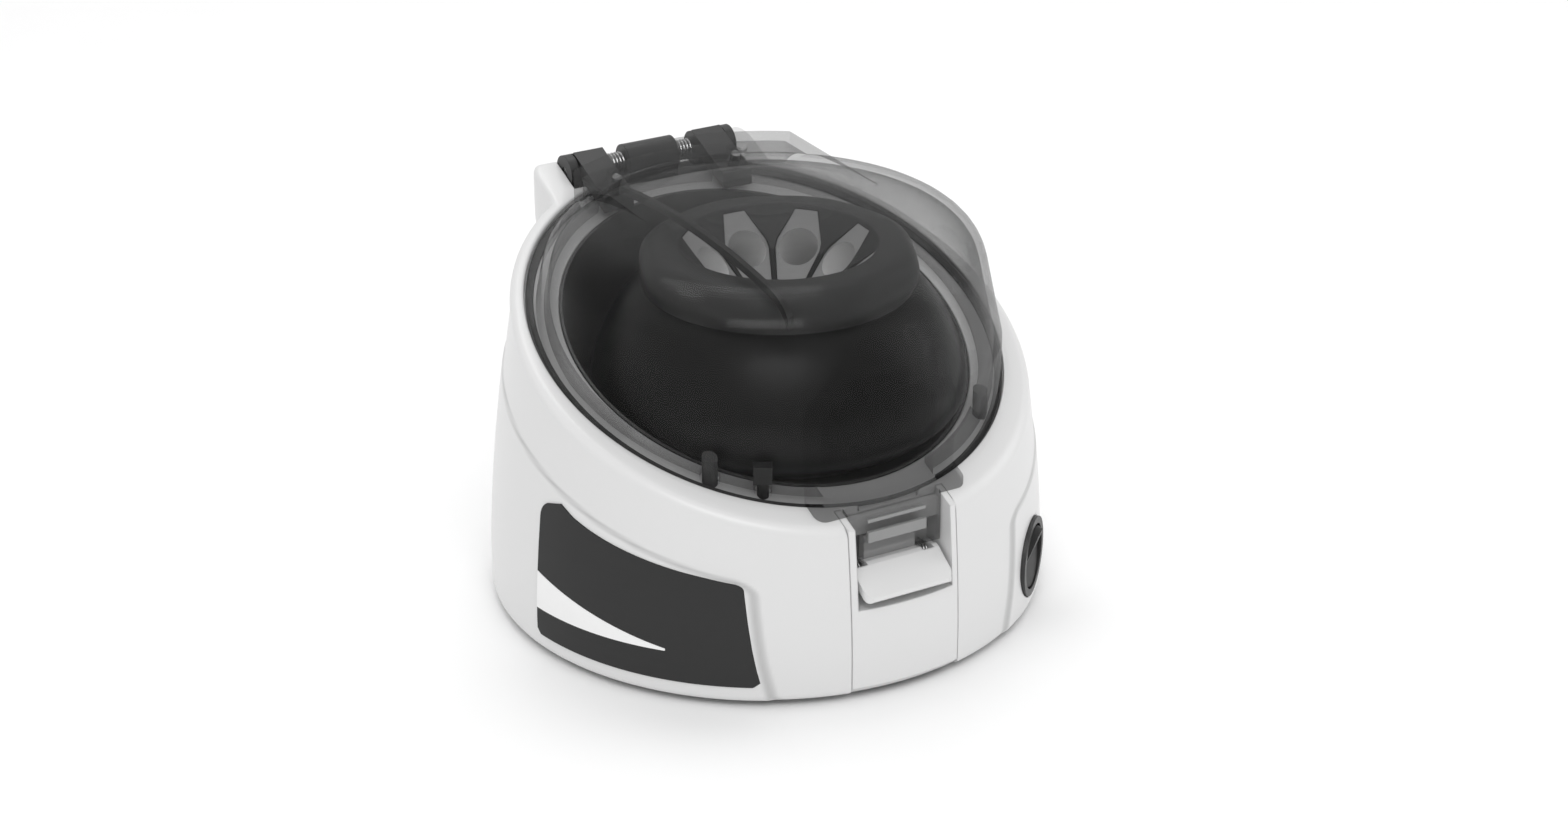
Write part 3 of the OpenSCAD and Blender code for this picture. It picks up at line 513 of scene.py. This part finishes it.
bezel_low, bezel_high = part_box("switch_bezel")
bracket_low, bracket_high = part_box("hinge_bracket")
SEAM = 0.2                 # seam between two mouldings
FAR = 100.0                # beyond the housing on every side
SWITCH_DEG = 43            # angle of the switch round the housing from the latch
SWITCH_Z = (bezel_low.z + bezel_high.z) / 2 / MM
SWITCH_HOLE_R = 10.2
SWITCH_RECESS_R = 11.7
SWITCH_RECESS = 0.6        # depth of the seat of the bezel below the widest radius
SOCKET_Z = 14.0
SOCKET_HOLE_R = 5.1
CUT_FROM_R = 60.0          # holes in the wall are cut from this radius outwards
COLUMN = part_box("front_panel")[1].x / MM + SEAM
COLUMN_STEP_Z = 46.5       # the latch column is deeper below this height
COLUMN_BACK = -53.0
COLUMN_TOP_BACK = -58.4
HINGE_HALF = bracket_high.x / MM + SEAM
POCKET_Z = bracket_low.z / MM - 0.1
POCKET_FRONT = HINGE.y - 6.9

housing = turned("housing_shell", housing_profile, 720, "base", WHITE, CENTRE_Y)
# Solids that overlap each other are cut in separate steps.
boolean(housing, [
    block(-COLUMN, COLUMN, -FAR, COLUMN_BACK, -5, COLUMN_STEP_Z + 0.3),
    block(-HINGE_HALF, HINGE_HALF, POCKET_FRONT, FAR + 20, POCKET_Z, FAR + 30),
    prism(circle(SWITCH_HOLE_R), CUT_FROM_R, FAR) + (on_wall(SWITCH_DEG, SWITCH_Z),),
    prism(circle(SOCKET_HOLE_R), CUT_FROM_R, FAR) + (on_wall(180, SOCKET_Z),),
])
boolean(housing, [
    block(-COLUMN, COLUMN, -FAR, COLUMN_TOP_BACK, COLUMN_STEP_Z, FAR + 30),
    prism(circle(SWITCH_RECESS_R, 64), BODY_R - SWITCH_RECESS, FAR) + (on_wall(SWITCH_DEG, SWITCH_Z),),
])
shade(housing, 32)
# Each point carries how near it is to the foot of the step at the edge of a side field.
crease = housing.data.attributes.new(CREASE_NAME, "FLOAT", "POINT")
for i, v in enumerate(housing.data.vertices):
    place = v.co / MM - SHIFT
    near = 1 - abs(field_inset(place.y, place.z) / FIELD_STEP - CREASE_MIDDLE) / CREASE_HALF
    crease.data[i].value = max(0.0, near)
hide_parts("main_housing")


# ---------------------------------------------------------------- rotor

LOBES = 8
SEAT_TURN = radians(43.3)  # angle of the first tube seat
SEAT_R = 18.6              # radius of the middle of a seat
SEAT_TILT = radians(45)
LIP_R = 27.9               # inner edge of the rotor's top
SEAT_DEPTH = 0.8           # recess of a seat in the rotor
BORE_R = 5.65              # just wider than a tube bore
BORE_START = -0.5          # faces below this level of a seat are inside its bore
SLEEVE_R = 6.45
SLEEVE_DEPTH = 35.3
RING_Z = 93.4              # the ring stands above this height
LOBE_SWELL = 1.3           # how much the ring swells beside each tube
SKIRT_R = 52.2             # greatest radius of the skirt as drawn below
HUB_R = 9.05               # hole for the hub
LIP_EDGE = 1.5             # rounding of the inner edge
CROWN_R = 32.4             # the ring is level up to here and then falls in a quarter ellipse
CROWN_WIDTH = 6.8
CROWN_HEIGHT = 7.0


def rotor_profile(a):
    """Section of the rotor at angle a: inner cone, ring with soft lobes, waist, skirt and underside."""
    lobe = 0.5 + 0.5 * cos(LOBES * (a - SEAT_TURN - radians(90)))
    swell = LOBE_SWELL * lobe
    top = ROTOR_TOP
    pts = [(HUB_R, 50), (HUB_R, top - 19.4), (18, top - 9.9), (26.6, top - 1.3)]
    for k in range(1, 6):
        t = pi * 0.75 - k / 5 * pi / 4
        pts.append((28.2 + LIP_EDGE * cos(t), top - LIP_EDGE + LIP_EDGE * sin(t)))
    for k in range(1, 9):
        t = pi / 2 - k / 8 * pi / 2
        pts.append((CROWN_R + (CROWN_WIDTH - LOBE_SWELL + swell) * cos(t),
                    top - CROWN_HEIGHT + CROWN_HEIGHT * sin(t)))
    pts += [
        (39.0 - LOBE_SWELL + swell, 97.0), (37.4 + 0.8 * swell, 95.6),
        (37.3 + 0.3 * swell, 94.4), (37.4, 93.6),
    ]
    skirt = [
        (38.4, 93.0), (40.6, 91.4), (43.4, 88.2), (46, 84.4), (48.4, 80), (50.4, 75.2), (51.7, 70.6),
        (SKIRT_R, 66.4), (51.7, 61.8), (49.6, 58.6), (45, 55), (39, 52), (35, 51), (32, 56), (14, 62), (14, 50),
    ]
    return pts + [(r * ROTOR_R / SKIRT_R, z) for r, z in skirt]


def seat_matrix(i):
    """Matrix of a tube seat: +Z towards the tube's mouth, +Y away from the rotor axis."""
    return (Matrix.Rotation(SEAT_TURN + i * 2 * pi / LOBES, 4, "Z")
            @ Matrix.Translation((0, SEAT_R, ROTOR_TOP - (LIP_R - SEAT_R)))
            @ Matrix.Rotation(SEAT_TILT, 4, "X"))


rotor = turned("rotor_shell", rotor_profile, 360, "rotor", ROTOR)
rotor.data.materials.append(RING)
seat = [
    (-3.3, 11.4), (-6.5, 1.6), (-6.5, -1), (-3.9, -10.4), (3.9, -10.4), (6.5, -1), (6.5, 1.6), (3.3, 11.4),
]
boolean(rotor, [prism(seat, -SEAT_DEPTH, 14) + (seat_matrix(i),) for i in range(LOBES)])
boolean(rotor, [prism(circle(SLEEVE_R, 40), -SLEEVE_DEPTH, 5) + (seat_matrix(i),) for i in range(LOBES)])
for f in rotor.data.polygons:
    f.material_index = 1 if f.center.z > RING_Z * MM else 0
shade(rotor, 30)
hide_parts("rotor_body")

# The bores of the tube sleeves are paler than their faces: painted light that keeps their shaded insides from
# looking dark.
sleeves = frame["nodes"]["tube_sleeves"]
sleeves.data.materials.append(BORE)
to_seat = [seat_matrix(i).inverted() for i in range(LOBES)]
for f in sleeves.data.polygons:
    centre = sleeves.matrix_world @ f.center / MM - SHIFT
    for m in to_seat:
        x, y, z = m @ centre
        if z < BORE_START and x * x + y * y < BORE_R * BORE_R:
            f.material_index = 1
            break

# The tongue and the flange round it are darker than the dome: partly a darker smoke, partly painted shade.
TONGUE_BACK = -53.5
TONGUE_HALF = 23.2
lid = frame["nodes"]["lid_shell"]
lid.data.materials.append(TONGUE)
for f in lid.data.polygons:
    centre = lid.matrix_world @ f.center / MM - SHIFT
    if centre.y < TONGUE_BACK and abs(centre.x) < TONGUE_HALF:
        f.material_index = 1

for node, o in frame["nodes"].items():
    if not o.hide_render:
        shade(o)

# ---------------------------------------------------------------- floor, light, camera

FLOOR_HALF = 3.0           # metres
FLOOR_SIDE = 6.0           # metres
CURVE_FROM = 1.2           # metres; the floor curves up behind this Y
CURVE_R = 1.8              # metres
FLOOR_STEPS = 24

floor_mat = surface("floor", 0.97, 0.7, vary=0.004)
floor_mesh = bpy.data.meshes.new("floor")
verts, faces = [], []
for i in range(FLOOR_STEPS + 1):
    y = -FLOOR_HALF + 2 * FLOOR_HALF * i / FLOOR_STEPS
    t = min(1.0, max(0.0, (y - CURVE_FROM) / CURVE_R))
    z = CURVE_R * (1 - sqrt(1 - t * t))
    verts += [(-FLOOR_SIDE, y, z), (FLOOR_SIDE, y, z)]
    if i:
        faces.append((2 * i - 2, 2 * i - 1, 2 * i + 1, 2 * i))
floor_mesh.from_pydata(verts, [], faces)
floor_mesh.shade_smooth()
floor = bpy.data.objects.new("floor", floor_mesh)
floor.data.materials.append(floor_mat)
bpy.context.scene.collection.objects.link(floor)

world = bpy.data.worlds.new("studio")
world.use_nodes = True
world.node_tree.nodes["Background"].inputs["Color"].default_value = (1, 1, 1, 1)
world.node_tree.nodes["Background"].inputs["Strength"].default_value = 0.78
bpy.context.scene.world = world


def area(name, place, aim, size, power):
    """A soft rectangular light; place, aim and size in metres, power in watts."""
    data = bpy.data.lights.new(name, "AREA")
    data.shape = "RECTANGLE"
    data.size, data.size_y = size
    data.energy = power
    o = bpy.data.objects.new(name, data)
    o.location = place
    o.rotation_mode = "QUATERNION"
    o.rotation_quaternion = (Vector(aim) - Vector(place)).to_track_quat("-Z", "Y")
    bpy.context.scene.collection.objects.link(o)


area("key", (-0.5, -0.9, 1.2), (0, 0, 0.05), (0.9, 0.6), 6)
area("top", (0.1, 0.5, 1.3), (0, 0, 0.05), (0.8, 0.5), 4)
area("side", (1.1, -0.3, 0.5), (0, 0, 0.06), (0.5, 0.8), 1.5)

camera_data = bpy.data.cameras.new("camera")
camera_data.lens = 69.3
camera_data.sensor_width = 36
camera = bpy.data.objects.new("camera", camera_data)
target = (Vector((11.6, 17.3, 43.9)) + SHIFT) * MM
azimuth = radians(-29.7)
elevation = radians(25.3)
distance = 866.5 * MM
back = Vector((sin(azimuth) * cos(elevation), -cos(azimuth) * cos(elevation), sin(elevation)))
camera.location = target + back * distance
camera.rotation_mode = "QUATERNION"
camera.rotation_quaternion = (-back).to_track_quat("-Z", "Y")
bpy.context.scene.collection.objects.link(camera)
bpy.context.scene.camera = camera

scene = bpy.context.scene
scene.view_settings.view_transform = "Standard"
scene.cycles.transparent_max_bounces = 24
